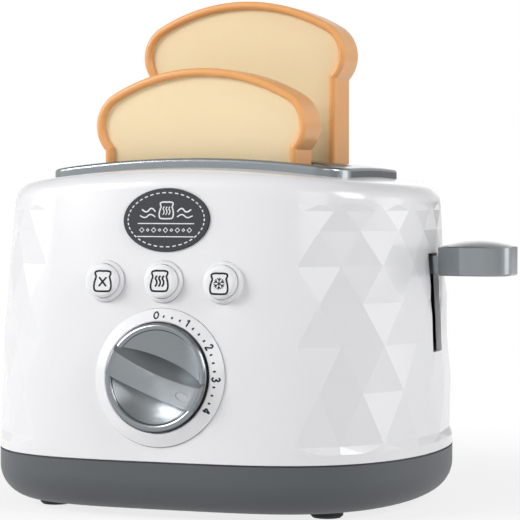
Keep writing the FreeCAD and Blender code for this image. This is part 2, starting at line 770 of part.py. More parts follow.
def build_wells():
    """Two open-bottomed sleeves under the trim; the shelves run in their end slots."""
    under = fixed("well_crown", crown_block(size("crown_height")))
    for side, sign in (("front", "-1"), ("rear", "1")):
        centre = sign + "*slot_centre"
        outer = rounded_plate("well_outer_" + side, "slot_half_length + well_wall",
                              "slot_half_width + well_wall", "slot_corner + well_wall",
                              "well_bottom", "crown_height + 5", centre)
        inner = rounded_plate("well_inner_" + side, "slot_half_length", "slot_half_width",
                              "slot_corner", "well_bottom - 2", "crown_height + 7", centre)
        way = box("well_way_" + side,
                  ("-1*slot_half_length - 10", centre + " - shelf_half_width - shelf_slot_gap",
                   "well_bottom - 2"),
                  ("slot_half_length + 10", centre + " + shelf_half_width + shelf_slot_gap",
                   "shelf_top + shelf_slot_gap"))
        sleeve = cut("well_sleeve_" + side, outer, [inner, way])
        ribs = []
        for k, share in enumerate((-1, 1)):
            rib_x = "%d*(slice_neck - 0.5*crust_wall)" % share
            for end, start, stop in (("near", centre + " - slot_half_width - 0.2",
                                      centre + " + slice_offset - 0.5*slice_thickness - run_gap"),
                                     ("far", centre + " + slice_offset + 0.5*slice_thickness + run_gap",
                                      centre + " + slot_half_width + 0.2")):
                if amount(stop) - amount(start) > 0.5:
                    ribs.append(box("well_rib_%s_%s_%d" % (side, end, k),
                                    (rib_x + " - 1.5", start, "shelf_top + shelf_slot_gap + 2"),
                                    (rib_x + " + 1.5", stop, "crown_height - 8")))
        sleeve = fuse("well_ribbed_" + side, [sleeve] + ribs)
        node(common("well_" + side, sleeve, under), side + "_well")


# ---------------------------------------------------------------- bread slices
def slice_face(inset, bottom):
    """Slice outline in the XZ plane, standing on z = bottom: crown, bulges, neck and feet."""
    width, radius = size("slice_half_width") - inset, size("slice_bulge_radius") - inset
    neck, foot = size("slice_neck") - inset, size("slice_foot_radius") - inset
    drop, tall = size("slice_bulge_drop"), size("slice_height")
    top, low = bottom + tall - inset, bottom + inset
    bulge = Vec(width - radius, 0, bottom + tall - drop)
    run = bulge.x
    full = (run ** 2 + drop ** 2 - size("slice_bulge_radius") ** 2) \
        / (2 * (drop - size("slice_bulge_radius")))
    crown = full - inset
    centre = Vec(0, 0, bottom + tall - full)
    away = (bulge - centre).normalize()
    tangent = centre + away * crown
    neck_z = bulge.z - math.sqrt(radius ** 2 - (neck - run) ** 2)
    side = Vec(bulge.x + radius, 0, bulge.z)
    corner = math.sqrt(0.5) * foot
    right = [Part.Arc(Vec(0, 0, top), centre + Vec(math.sin(math.asin(away.x) / 2), 0,
                                                    math.cos(math.asin(away.x) / 2)) * crown, tangent),
             Part.Arc(tangent, side, Vec(neck, 0, neck_z)),
             Part.LineSegment(Vec(neck, 0, neck_z), Vec(neck, 0, low + foot)),
             Part.Arc(Vec(neck, 0, low + foot), Vec(neck - foot + corner, 0, low + foot - corner),
                      Vec(neck - foot, 0, low)),
             Part.LineSegment(Vec(neck - foot, 0, low), Vec(0, 0, low))]
    half = Part.Wire([piece.toShape() for piece in right])
    return Part.Face(Part.Wire(half.Edges + half.mirror(Vec(0, 0, 0), X_AXIS).Edges))


def build_slice(side, sign, bottom):
    """A hollow play slice: crust band and two set-in crumb faces."""
    centre = sign * size("slot_centre") + size("slice_offset")
    thick, wall = size("slice_thickness"), size("crust_wall")
    front = centre - thick / 2

    def slab(inset, start, depth):
        face = slice_face(inset, bottom)
        face.translate(Vec(0, start, 0))
        return face.extrude(Vec(0, depth, 0))

    band = slab(0.0, front, thick).cut(slab(wall, front - 1, thick + 2))
    rims = [edge for edge in band.Edges
            if abs(edge.BoundBox.YLength) < 0.01 and edge.Length > 3]
    crust = fixed(side + "_crust_shape", band.makeFillet(size("crust_edge"), rims))
    recess, crumb = size("crumb_recess") + size("crust_edge"), size("crumb_thickness")
    node(crust, side + "_slice_crust")
    node(fixed(side + "_crumb_front_shape", slab(wall, front + recess, crumb)),
         side + "_slice_front_crumb")
    node(fixed(side + "_crumb_back_shape", slab(wall, front + thick - recess - crumb, crumb)),
         side + "_slice_back_crumb")


# ---------------------------------------------------------------- carriage and lever
def build_carriage():
    """Yoke with two sleeves that slide on the guide rods, and its latch catch."""
    yoke_low = "shelf_top - shelf_thickness"
    parts = [box("yoke", ("rod_x - 0.5*yoke_thickness", "-1*yoke_half_width", yoke_low),
                 ("rod_x + 0.5*yoke_thickness", "yoke_half_width", yoke_low + " + yoke_height"))]
    parts.append(box("yoke_tower", ("rod_x - 0.5*yoke_thickness", "-1*rod_y", yoke_low),
                     ("rod_x + 0.5*yoke_thickness", "rod_y", "arm_bottom + arm_height")))
    for k, sign in enumerate(("-1", "1")):
        parts.append(rod("sleeve_%d" % k, "sleeve_radius", "sleeve_height", "rod_x", sign + "*rod_y",
                         "arm_bottom + arm_height - sleeve_height"))
    parts.append(box("catch", ("rod_x + 0.4*yoke_thickness", "latch_y - 3", yoke_low),
                     ("rod_x + 0.5*yoke_thickness + catch_reach", "latch_y + 3",
                      yoke_low + " + catch_thickness")))
    bores = [rod("sleeve_bore_%d" % k, "rod_radius + rod_fit", "sleeve_height + 20", "rod_x",
                 sign + "*rod_y", "arm_bottom + arm_height - sleeve_height - 10")
             for k, sign in enumerate(("-1", "1"))]
    node(cut("carriage_cut", fuse("carriage_solid", parts), bores), "carriage_yoke")


def build_shelves():
    """Bars that carry the slices, each with cross fingers, running through the wells."""
    for side, sign in (("front", "-1"), ("rear", "1")):
        centre = sign + "*slot_centre"
        low, high = "shelf_top - shelf_thickness", "shelf_top"
        bars = [box("shelf_bar_" + side,
                    ("-1*slot_half_length - well_wall - 2", centre + " - shelf_half_width", low),
                    ("rod_x - 0.5*yoke_thickness", centre + " + shelf_half_width", high))]
        for k, share in enumerate((-0.6, 0.0, 0.6)):
            bars.append(box("finger_%s_%d" % (side, k),
                            ("%s*slice_neck - 2.5" % share, centre + " - finger_half_length", low),
                            ("%s*slice_neck + 2.5" % share, centre + " + finger_half_length", high)))
        node(fuse("shelf_" + side, bars), side + "_shelf")


def knob_points():
    """Half plan of the lever knob: neck, flare, straight side and rounded end corner."""
    start, end, neck, wide = "knob_start", "knob_end", "knob_neck_half_width", "knob_half_width"
    return [(start, "-" + neck), (start + " + 0.5*knob_flare", "-%s - 0.35*knob_corner" % neck),
            (start + " + knob_flare", "-" + wide), (end, "-" + wide), (end, wide),
            (start + " + knob_flare", wide), (start + " + 0.5*knob_flare", neck + " + 0.35*knob_corner"),
            (start, neck)]


def build_lever():
    reach = "knob_start + knob_socket"
    arm = box("arm_block", ("rod_x + 0.5*yoke_thickness", "-1*arm_half_width", "arm_bottom"),
              (reach, "arm_half_width", "arm_bottom + arm_height"))
    node(arm, "lever_arm")
    grip = plate("lever_grip", knob_points(), "knob_rim_height")
    place(grip, "0", "0", "knob_bottom")
    end, wide = size("knob_end"), size("knob_half_width")
    dress(grip, "Fillet", "lever_grip_corners", "knob_corner",
          lambda edge: edge.BoundBox.ZLength > 5 and abs(mid(edge).x - end) < 0.1)
    dress(grip, "Fillet", "lever_grip_flare", "6",
          lambda edge: edge.BoundBox.ZLength > 5 and abs(abs(mid(edge).y) - wide) < 0.1
          and mid(edge).x < size("knob_start") + size("knob_flare") + 1)
    dress(grip, "Fillet", "lever_grip_lower_edge", "0.9", lambda edge: level(edge, 0.0))
    socket = box("lever_socket", ("knob_start - 1", "-1*arm_half_width - rod_fit", "arm_bottom - rod_fit"),
                 (reach + " + rod_fit", "arm_half_width + rod_fit", "arm_bottom + arm_height + rod_fit"))
    node(cut("lever_knob_cut", grip, [socket]), "lever_knob")
    cap = plate("lever_cap_blank", knob_points(), "knob_crown_rise + 1")
    place(cap, "0", "0", "knob_bottom + knob_rim_height")
    dress(cap, "Fillet", "lever_cap_corners", "knob_corner",
          lambda edge: edge.BoundBox.ZLength > 2 and abs(mid(edge).x - end) < 0.1)
    dress(cap, "Fillet", "lever_cap_flare", "6",
          lambda edge: edge.BoundBox.ZLength > 2 and abs(abs(mid(edge).y) - wide) < 0.1
          and mid(edge).x < size("knob_start") + size("knob_flare") + 1)
    half_span = (end - size("knob_start")) / 2
    rise = size("knob_crown_rise") - 0.5
    radius = (half_span ** 2 + rise ** 2) / (2 * rise)
    summit = size("knob_bottom") + size("knob_rim_height") + size("knob_crown_rise")
    ball = doc.addObject("Part::Sphere", "lever_cap_crown")
    ball.Radius = radius
    ball.Placement = Place(Vec((end + size("knob_start")) / 2, 0, summit - radius), Turn())
    node(common("lever_cap_domed", cap, ball), "lever_cap")


def build_rods():
    rods = [rod("guide_rod_%d" % k, "rod_radius", "rod_top - rod_bottom", "rod_x", sign + "*rod_y",
                "rod_bottom") for k, sign in enumerate(("-1", "1"))]
    group = doc.addObject("Part::Compound", "rod_group")
    group.Links = rods
    node(group, "guide_rods")
    bottom = size("rod_boss_top")
    top = size("arm_bottom") + size("arm_height") - size("sleeve_height")
    places = [Place(Vec(size("rod_x"), sign * size("rod_y"), bottom + 0.05), Turn()) for sign in (-1, 1)]
    spring("return_springs", size("return_coil_radius"), size("return_wire_radius"), 11, places,
           top - bottom - 0.1)


def build_latch():
    """Hook that swings over the carriage's catch, stored open, and its pin in the base's ears."""
    x, y, z = size("latch_x"), size("latch_y"), size("latch_pivot_height")
    pin = cross_rod("latch_pin_rod", "latch_pin_radius", "11", "latch_x", "latch_y - 5.5",
                    "latch_pivot_height")
    node(pin, "latch_pin")
    low, high = "latch_y - latch_half_width", "latch_y + latch_half_width"
    nose_low = "shelf_top - shelf_thickness + catch_thickness - lever_travel + run_gap"
    stalk = box("hook_stalk", ("latch_x - 1.5", low, "latch_pivot_height"),
                ("latch_x + 1.5", high, nose_low + " + 3"))
    nose = box("hook_nose", ("rod_x + 0.5*yoke_thickness + 0.4*catch_reach", low, nose_low),
               ("latch_x + 1.5", high, nose_low + " + 3"))
    eye = cross_rod("hook_eye", "latch_pin_radius + 2", "2*latch_half_width", "latch_x",
                    "latch_y - latch_half_width", "latch_pivot_height")
    bore = cross_rod("hook_bore", "latch_pin_radius + rod_fit", "12", "latch_x", "latch_y - 6",
                     "latch_pivot_height")
    hook = cut("hook_closed", fuse("hook_solid", [stalk, nose, eye]), [bore])
    doc.recompute()
    opened = hook.Shape.copy()
    opened.rotate(Vec(x, y, z), Y_AXIS, size("latch_open_angle"))
    node(fixed("hook_open", opened), "latch_hook")


# ---------------------------------------------------------------- dial
def grip_bar(reach, foot, skirt, neck):
    """The dial's finger grip along X: steep on its -Y side, sloped at 45 degrees from a crest
    on its +Y side, dipped in the middle and rolled off at both ends."""
    lift, dip = size("knob_proud") + size("grip_proud"), size("grip_dip")
    end = reach + 1
    crest_middle, crest_end = size("grip_crest_middle"), size("grip_crest_end")
    low_middle, low_end = size("grip_foot_middle"), size("grip_foot_end")
    back = crest_end + lift - foot
    left, right = Vec(-end, low_end, foot), Vec(end, low_end, foot)
    outline = [Part.Arc(left, Vec(0, low_middle, foot), right).toShape(),
               Part.makeLine(right, Vec(end, back, foot)),
               Part.makeLine(Vec(end, back, foot), Vec(-end, back, foot)),
               Part.makeLine(Vec(-end, back, foot), left)]
    bar = Part.Face(Part.Wire(outline)).extrude(Vec(0, 0, lift - foot))
    # The sloped side is part of a cone whose circle at the top passes the crest's ends.
    lean = crest_middle + dip - crest_end
    cone = (end ** 2 + lean ** 2) / (-2 * lean)
    centre = crest_middle + dip + cone
    slope = Part.makeCone(cone - (lift - foot), cone, lift - foot, Vec(0, centre, foot))
    bar = bar.cut(slope)
    room = Part.makeCylinder(reach, lift - skirt, Vec(0, 0, skirt))
    room = room.makeFillet(size("grip_roll"), [edge for edge in room.Edges if level(edge, lift)])
    room = room.fuse(Part.makeCylinder(neck, skirt + 0.2 - foot, Vec(0, 0, foot)))
    bar = bar.common(room)
    saddle = (end ** 2 + dip ** 2) / (2 * dip)
    dent = Part.makeCylinder(saddle, 4 * reach, Vec(0, -2 * reach, lift + saddle - dip), Y_AXIS)
    return bar.cut(dent)


def build_dial():
    seat = "-1*dial_seat_depth"
    ring = turned("dial_ring_body", [
        ("ring_hole_radius", seat), ("ring_radius", seat), ("ring_radius", "ring_edge"),
        ("ring_hole_radius + ring_lip", "ring_proud"), ("ring_hole_radius", "ring_proud")],
        face_place(DIAL_Z))
    dress(ring, "Fillet", "dial_ring_edges", "0.35", lambda edge: edge.BoundBox.ZMin > 0.1)
    node(ring, "dial_ring")
    outer, rim, proud = size("knob_radius"), size("rim_width"), size("knob_proud")
    inner, deep, wall = outer - rim, size("bowl_depth"), size("bowl_wall")
    base = -size("dial_seat_depth") + size("run_gap") + 0.2
    neck, low = size("dial_opening") - 1, proud - deep - wall
    hub, bore = size("shaft_radius") + 2.2, size("shaft_radius") + size("screw_gap")
    flat = 1.5
    bowl = (inner ** 2 + deep ** 2) / (2 * deep)

    def bowl_point(radius):
        """The point of the spherical dish at a radius."""
        return Vec(radius, 0, proud - deep + bowl - math.sqrt(bowl ** 2 - radius ** 2))

    dish = bowl_point(flat)
    corners = [Vec(outer, 0, proud), Vec(outer, 0, base), Vec(neck, 0, base), Vec(neck, 0, low),
               Vec(hub, 0, low), Vec(hub, 0, low - 2.5), Vec(bore, 0, low - 2.5),
               Vec(bore, 0, low + 0.5), Vec(0, 0, low + 0.5), Vec(0, 0, dish.z), dish]
    edges = [Part.makeLine(a, b) for a, b in zip(corners, corners[1:])]
    edges.append(Part.Arc(dish, bowl_point(inner / 2), Vec(inner, 0, proud)).toShape())
    edges.append(Part.Arc(Vec(inner, 0, proud), Vec(outer - rim / 2, 0, proud + size("rim_rise")),
                          corners[0]).toShape())
    cup = Part.Face(Part.Wire(edges)).revolve(Vec(0, 0, 0), Z_AXIS, 360)
    bar = grip_bar(outer - 0.2, proud - deep - 0.6, base + 0.6, neck - 1)
    lift = proud + size("grip_proud")
    marker = Part.Face(Part.Wire([Part.Ellipse(Vec(0, 0, 0), size("marker_half_length"),
                                               size("marker_half_width")).toShape()]))
    marker.translate(Vec(size("marker_out"), -size("marker_down"), lift - 2.2))
    bar = bar.cut(marker.extrude(Vec(0, 0, 4)))
    knob = cup.fuse(bar)
    pip = marker.extrude(Vec(0, 0, 0.9))
    turn = Place(Vec(0, 0, 0), Turn(Z_AXIS, size("grip_angle")))
    for shape, label in ((knob, "dial_knob"), (pip, "dial_marker")):
        shape.Placement = face_place(DIAL_Z).multiply(turn).multiply(shape.Placement)
        node(fixed(label + "_shape", shape), label)
    top = low + 0.5
    node(face_rod("dial_shaft_rod", "shaft_radius", "-1*shaft_end", str(top), DIAL_Z), "dial_shaft")


def build_timer():
    """Closed clockwork unit on three bosses behind the dial."""
    case = face_rod("timer_drum", "timer_radius", "-1*timer_back", "-1*timer_front - 2", DIAL_Z)
    ears = []
    for k, angle in enumerate((90, 210, 330)):
        reach = size("timer_boss_spread")
        x, y = reach * math.cos(math.radians(angle)), reach * math.sin(math.radians(angle))
        ears.append(face_rod("timer_ear_%d" % k, "4", "-1*timer_front - 2", "-1*timer_front", DIAL_Z, x, y))
    flange = face_rod("timer_flange", "timer_radius + 3.5", "-1*timer_front - 2", "-1*timer_front", DIAL_Z)
    bore = face_rod("timer_bore", "shaft_radius + rod_fit", "-1*shaft_end - 5", "0", DIAL_Z)
    node(cut("timer_cut", fuse("timer_solid", [case, flange] + ears), [bore]), "timer_case")


# ---------------------------------------------------------------- buttons and badge
def build_buttons():
    flange_top = "-1*shell_wall - run_gap"
    flange_low = flange_top + " - 1.2"
    for side, sign in BUTTONS.items():
        spot = face_place(BUTTON_Z, sign * size("button_pitch"))
        bezel = turned("bezel_body_" + side, [
            ("bezel_hole_radius", "-1*bezel_seat_depth"), ("bezel_radius", "-1*bezel_seat_depth"),
            ("bezel_radius", "bezel_edge"), ("bezel_hole_radius + 0.4", "bezel_proud"),
            ("bezel_hole_radius", "bezel_proud")], spot)
        dress(bezel, "Fillet", "bezel_edges_" + side, "0.35",
              lambda edge: level(edge, size("bezel_edge")))
        node(bezel, "button_bezel_" + side)
        cap = turned("cap_body_" + side, [
            ("0", "cap_proud"), ("cap_radius", "cap_proud"), ("cap_radius", flange_top),
            ("flange_radius", flange_top), ("flange_radius", flange_low), ("stem_radius", flange_low),
            ("stem_radius", "-1*guide_plate_depth - guide_plate_thickness - 1"),
            ("0", "-1*guide_plate_depth - guide_plate_thickness - 1")], spot)
        dress(cap, "Fillet", "cap_edge_" + side, "cap_rounding",
              lambda edge: level(edge, size("cap_proud")))
        node(cap, "button_cap_" + side)
        start = -size("guide_plate_depth") + 0.05
        length = size("guide_plate_depth") - 0.1 + amount(flange_low)
        spring("button_spring_" + side, size("button_coil_radius"), size("button_wire_radius"), 4,
               [spot.multiply(Place(Vec(0, 0, start), Turn()))], length)


def build_guide_plate():
    """Strip behind the front wall that guides the three button stems."""
    depth, thick = size("guide_plate_depth"), size("guide_plate_thickness")
    reach = size("button_pitch") + size("flange_radius") + 2
    blank = plate("guide_plate_body", [("-1*button_pitch - flange_radius", "-7"),
                                       ("button_pitch + flange_radius", "-7"),
                                       ("button_pitch + flange_radius", "7"),
                                       ("-1*button_pitch - flange_radius", "7")],
                  "guide_plate_thickness", face_place(BUTTON_Z, out=-depth - thick))
    dress(blank, "Fillet", "guide_plate_corners", "3",
          lambda edge: edge.BoundBox.XLength < 0.01 and abs(mid(edge).x) > reach - 4
          and edge.BoundBox.YLength < thick)
    holes = [face_rod("stem_hole_" + side, "stem_radius + 0.08", "-1*guide_plate_depth - 6",
                      "-1*guide_plate_depth + 2", BUTTON_Z, sign * size("button_pitch"))
             for side, sign in BUTTONS.items()]
    node(cut("guide_plate_cut", blank, holes), "button_guide_plate")


def build_badge():
    proud, seat = size("badge_proud"), size("badge_seat_depth")
    solid = oval_prism(size("badge_half_width"), size("badge_half_height"), -seat, proud, BADGE_Z)
    node(fixed("badge_shape", solid), "badge_plate")


build_housing()
build_base()
build_feet()
build_screws()
build_trim()
build_wells()
build_slice("front", -1, size("shelf_top"))
build_slice("rear", 1, size("shelf_top") + size("slice_rise"))
build_carriage()
build_shelves()
build_lever()
build_rods()
build_latch()
build_dial()
build_timer()
build_buttons()
build_guide_plate()
build_badge()
doc.recompute()

# ---------------------------------------------------------------- checks and files
for thing in doc.Objects:
    if "Invalid" in thing.State or "Error" in thing.State:
        raise RuntimeError("failed object: %s %s" % (thing.Name, thing.State))
for thing in NODES:
    if thing.Shape.isNull() or not thing.Shape.isValid() or not thing.Shape.Solids:
        raise RuntimeError("bad shape: " + thing.Label)
for thing in NODES:
    thing.Shape.exportStep("parts/%s.step" % thing.Label)
print("%d nodes" % len(NODES))
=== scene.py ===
"""Looks of the toy toaster: finishes, spring copies, printed marks and studio.

Lengths are in metres, apart from the springs' travel, the printed marks and the places on the front
face, which are in millimetres.
"""
import json
import math

import bmesh
import bpy
from mathutils import Matrix, Vector


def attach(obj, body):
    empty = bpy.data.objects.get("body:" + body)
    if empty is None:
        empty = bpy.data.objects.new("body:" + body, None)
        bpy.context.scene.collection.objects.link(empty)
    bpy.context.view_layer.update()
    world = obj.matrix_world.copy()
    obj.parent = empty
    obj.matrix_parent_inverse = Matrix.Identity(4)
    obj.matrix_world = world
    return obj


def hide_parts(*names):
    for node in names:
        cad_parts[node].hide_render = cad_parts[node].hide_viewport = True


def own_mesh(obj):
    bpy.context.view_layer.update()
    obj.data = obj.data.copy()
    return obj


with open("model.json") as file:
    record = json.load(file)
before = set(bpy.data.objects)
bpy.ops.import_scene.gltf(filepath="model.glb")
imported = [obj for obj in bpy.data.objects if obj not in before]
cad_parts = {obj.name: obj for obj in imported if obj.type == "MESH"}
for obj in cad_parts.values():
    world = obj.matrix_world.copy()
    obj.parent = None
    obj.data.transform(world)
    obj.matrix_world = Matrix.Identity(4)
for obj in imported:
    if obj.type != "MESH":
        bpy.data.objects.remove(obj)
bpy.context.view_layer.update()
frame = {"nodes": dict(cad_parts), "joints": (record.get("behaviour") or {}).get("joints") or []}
scene = bpy.context.scene
MM = 0.001
DIAL_JOINT = next(joint for joint in frame["joints"] if joint["name"] == "dial_turn")


# ------------------------------------------------------------------ node helpers
# A mix node has sockets for every kind of value: these are its factor and its two colours.
MIX_INPUTS, MIX_RESULT = (0, 6, 7), 2


def wire(tree, *links):
    """Link each source socket to its target."""
    for source, target in links:
        tree.links.new(source, target)


def make_group(name, inputs, outputs):
    """An empty shader group with named inputs (label, kind, value) and outputs (label, kind)."""
    tree = bpy.data.node_groups.new(name, "ShaderNodeTree")
    for label, kind, value in inputs:
        socket = tree.interface.new_socket(label, in_out="INPUT", socket_type="NodeSocket" + kind)
        socket.default_value = value
    for label, kind in outputs:
        tree.interface.new_socket(label, in_out="OUTPUT", socket_type="NodeSocket" + kind)
    return tree, tree.nodes.new("NodeGroupInput").outputs, tree.nodes.new("NodeGroupOutput").inputs


def maths(tree, operation, first, second=None, clamp=False):
    """The result of a maths node whose inputs are numbers or sockets."""
    node = tree.nodes.new("ShaderNodeMath")
    node.operation = operation
    node.use_clamp = clamp
    for socket, value in zip(node.inputs, (first, second)):
        if isinstance(value, (int, float)):
            socket.default_value = value
        elif value is not None:
            tree.links.new(value, socket)
    return node.outputs[0]


def noise(tree, place, scale, detail=3.0, roughness=0.5):
    """A cloudy value between nought and one at a place."""
    node = tree.nodes.new("ShaderNodeTexNoise")
    node.inputs["Detail"].default_value = detail
    node.inputs["Roughness"].default_value = roughness
    tree.links.new(place, node.inputs["Vector"])
    if isinstance(scale, (int, float)):
        node.inputs["Scale"].default_value = scale
    else:
        tree.links.new(scale, node.inputs["Scale"])
    return node.outputs["Fac"]


def blend_colour(tree, share, first, second):
    """The second colour over the first by a share; each is a value or a socket."""
    node = tree.nodes.new("ShaderNodeMix")
    node.data_type = "RGBA"
    for index, value in zip(MIX_INPUTS, (share, first, second)):
        socket = node.inputs[index]
        if isinstance(value, (int, float, tuple)):
            socket.default_value = value
        else:
            tree.links.new(value, socket)
    return node.outputs[MIX_RESULT]


# ------------------------------------------------------------------ shared surface groups
DUST_COLOUR, DUST_SCALE, DUST_LIMIT, DUST_ROUGHENS = (0.75, 0.74, 0.72, 1), 420.0, 0.69, 0.3
PAINT_CLOUD_SCALE = 22.0
SPUN_CLOUD_SCALE, SPUN_WORN_SHARE, RINGS_ROUGHEN = 60.0, 0.4, 0.06
RELIEF_DEPTH = 0.0002


def build_moulded_skin():
    """Injection-moulded plastic: faint cloudy tint, uneven gloss and a fine orange-peel height."""
    tree, given, made = make_group(
        "moulded_skin",
        [("Colour", "Color", (0.8, 0.8, 0.8, 1)), ("Cloud Colour", "Color", (0.7, 0.7, 0.7, 1)),
         ("Cloud Scale", "Float", 14.0), ("Cloud Share", "Float", 0.3), ("Gloss", "Float", 0.3),
         ("Gloss Spread", "Float", 0.08), ("Peel Scale", "Float", 900.0), ("Dust Share", "Float", 0.0)],
        [("Colour", "Color"), ("Roughness", "Float"), ("Height", "Float")])
    place = tree.nodes.new("ShaderNodeTexCoord").outputs["Object"]
    cloud = noise(tree, place, given["Cloud Scale"], 4.0)
    tint = maths(tree, "MULTIPLY", cloud, given["Cloud Share"], True)
    colour = blend_colour(tree, tint, given["Colour"], given["Cloud Colour"])
    specks = maths(tree, "GREATER_THAN", noise(tree, place, DUST_SCALE, 5.0, 0.7), DUST_LIMIT)
    dust = maths(tree, "MULTIPLY", specks, given["Dust Share"], True)
    colour = blend_colour(tree, dust, colour, DUST_COLOUR)
    uneven = maths(tree, "MULTIPLY", maths(tree, "SUBTRACT", cloud, 0.5), given["Gloss Spread"])
    dusty = maths(tree, "MULTIPLY", dust, DUST_ROUGHENS)
    gloss = maths(tree, "ADD", maths(tree, "ADD", uneven, given["Gloss"]), dusty)
    peel = noise(tree, place, given["Peel Scale"], 2.0)
    wire(tree, (colour, made["Colour"]), (gloss, made["Roughness"]), (peel, made["Height"]))
    return tree


def build_metal_paint():
    """Silver paint: small flakes that catch light unevenly under a smooth lacquer."""
    tree, given, made = make_group(
        "metal_paint",
        [("Colour", "Color", (0.5, 0.5, 0.5, 1)), ("Flake Colour", "Color", (0.7, 0.7, 0.7, 1)),
         ("Flake Scale", "Float", 2600.0), ("Flake Share", "Float", 0.35), ("Gloss", "Float", 0.3),
         ("Gloss Spread", "Float", 0.12)],
        [("Colour", "Color"), ("Roughness", "Float"), ("Height", "Float")])
    place = tree.nodes.new("ShaderNodeTexCoord").outputs["Object"]
    flakes = tree.nodes.new("ShaderNodeTexVoronoi")
    split = tree.nodes.new("ShaderNodeSeparateColor")
    wire(tree, (place, flakes.inputs["Vector"]), (given["Flake Scale"], flakes.inputs["Scale"]),
         (flakes.outputs["Color"], split.inputs[0]))
    share = maths(tree, "MULTIPLY", split.outputs[0], given["Flake Share"], True)
    colour = blend_colour(tree, share, given["Colour"], given["Flake Colour"])
    cloud = noise(tree, place, PAINT_CLOUD_SCALE)
    uneven = maths(tree, "MULTIPLY", maths(tree, "SUBTRACT", cloud, 0.5), given["Gloss Spread"])
    gloss = maths(tree, "ADD", uneven, given["Gloss"])
    wire(tree, (colour, made["Colour"]), (gloss, made["Roughness"]), (split.outputs[1], made["Height"]))
    return tree


def build_spun_metal():
    """Turned metal paint: fine rings round an axis inside the bowl, smooth on the rim outside it."""
    tree, given, made = make_group(
        "spun_metal",
        [("Colour", "Color", (0.5, 0.5, 0.5, 1)), ("Worn Colour", "Color", (0.6, 0.6, 0.6, 1)),
         ("Centre", "Vector", (0.0, 0.0, 0.0)), ("Axis", "Vector", (0.0, 0.0, 1.0)),
         ("Bowl Radius", "Float", 0.02), ("Ring Pitch", "Float", 0.0004), ("Gloss", "Float", 0.25)],
        [("Colour", "Color"), ("Roughness", "Float"), ("Height", "Float")])
    place = tree.nodes.new("ShaderNodeTexCoord").outputs["Object"]
    arm, across, length = (tree.nodes.new("ShaderNodeVectorMath") for _ in range(3))
    arm.operation, across.operation, length.operation = "SUBTRACT", "CROSS_PRODUCT", "LENGTH"
    wire(tree, (place, arm.inputs[0]), (given["Centre"], arm.inputs[1]),
         (arm.outputs[0], across.inputs[0]), (given["Axis"], across.inputs[1]),
         (across.outputs[0], length.inputs[0]))
    radius = length.outputs["Value"]
    inside = maths(tree, "LESS_THAN", radius, given["Bowl Radius"])
    rings = maths(tree, "SINE", maths(tree, "DIVIDE", radius, given["Ring Pitch"]))
    worn = maths(tree, "MULTIPLY", noise(tree, place, SPUN_CLOUD_SCALE), SPUN_WORN_SHARE)
    colour = blend_colour(tree, worn, given["Colour"], given["Worn Colour"])
    gloss = maths(tree, "ADD", maths(tree, "MULTIPLY", inside, RINGS_ROUGHEN), given["Gloss"])
    height = maths(tree, "MULTIPLY", rings, inside)
    wire(tree, (colour, made["Colour"]), (gloss, made["Roughness"]), (height, made["Height"]))
    return tree


GROUPS = {"moulded_skin": build_moulded_skin(), "metal_paint": build_metal_paint(),
          "spun_metal": build_spun_metal()}


def finish(name, group, values, relief=0.02, **shader):
    """A material whose colour, roughness and relief come from one of the shared groups."""
    material = bpy.data.materials.new(name)
    material.use_nodes = True
    tree = material.node_tree
    surface = tree.nodes["Principled BSDF"]
    for label, value in shader.items():
        surface.inputs[label.replace("_", " ")].default_value = value
    source = tree.nodes.new("ShaderNodeGroup")
    source.node_tree = GROUPS[group]
    for label, value in values.items():
        source.inputs[label].default_value = value
    bump = tree.nodes.new("ShaderNodeBump")
    bump.inputs["Strength"].default_value = relief
    bump.inputs["Distance"].default_value = RELIEF_DEPTH
    wire(tree, (source.outputs["Colour"], surface.inputs["Base Color"]),
         (source.outputs["Roughness"], surface.inputs["Roughness"]),
         (source.outputs["Height"], bump.inputs["Height"]),
         (bump.outputs["Normal"], surface.inputs["Normal"]))
    return material


def paint(mesh, material):
    """Give a mesh one material in place of those it has."""
    mesh.materials.clear()
    mesh.materials.append(material)


SHELL_COLOURS = {"Colour": (0.83, 0.83, 0.845, 1), "Cloud Colour": (0.79, 0.79, 0.81, 1)}

WHITE = finish("white_gloss_shell", "moulded_skin",
               {**SHELL_COLOURS, "Gloss": 0.26, "Gloss Spread": 0.06},
               relief=0.02, Coat_Weight=0.5, Coat_Roughness=0.08)
BUTTON_WHITE = finish("white_button", "moulded_skin",
                      {**SHELL_COLOURS, "Gloss": 0.38, "Gloss Spread": 0.05}, relief=0.03)
BASE_GREY = finish("base_fine_matte", "moulded_skin",
                   {"Colour": (0.085, 0.094, 0.102, 1), "Cloud Colour": (0.07, 0.078, 0.085, 1),
                    "Gloss": 0.5, "Peel Scale": 2200.0, "Dust Share": 0.04}, relief=0.12)
RUBBER = finish("foot_rubber", "moulded_skin",
                {"Colour": (0.05, 0.05, 0.055, 1), "Cloud Colour": (0.07, 0.07, 0.07, 1), "Gloss": 0.75,
                 "Peel Scale": 1400.0, "Dust Share": 0.2}, relief=0.2)
SILVER = finish("silver_paint", "metal_paint",
                {"Colour": (0.27, 0.295, 0.31, 1), "Flake Colour": (0.33, 0.355, 0.37, 1), "Gloss": 0.2,
                 "Gloss Spread": 0.06}, relief=0.005, Metallic=0.95)
DIAL_METAL = finish("dial_spun_metal", "spun_metal",
                    {"Colour": (0.25, 0.27, 0.285, 1), "Worn Colour": (0.3, 0.32, 0.335, 1),
                     "Centre": DIAL_JOINT["pos_m"], "Axis": DIAL_JOINT["axis"],
                     "Bowl Radius": 0.0192, "Ring Pitch": 0.00008, "Gloss": 0.2},
                    relief=0.1, Metallic=0.95)
# The dial's marker is the same silver as the dial. Its colour is painted lighter than the dial's, a
# painted highlight that stands in for the bright ends of its dimple.
MARKER_PAINTED_HIGHLIGHT = finish("marker_silver_painted_highlight", "metal_paint",
               {"Colour": (0.47, 0.49, 0.51, 1), "Flake Colour": (0.53, 0.55, 0.57, 1), "Gloss": 0.16},
               relief=0.015, Metallic=0.95)
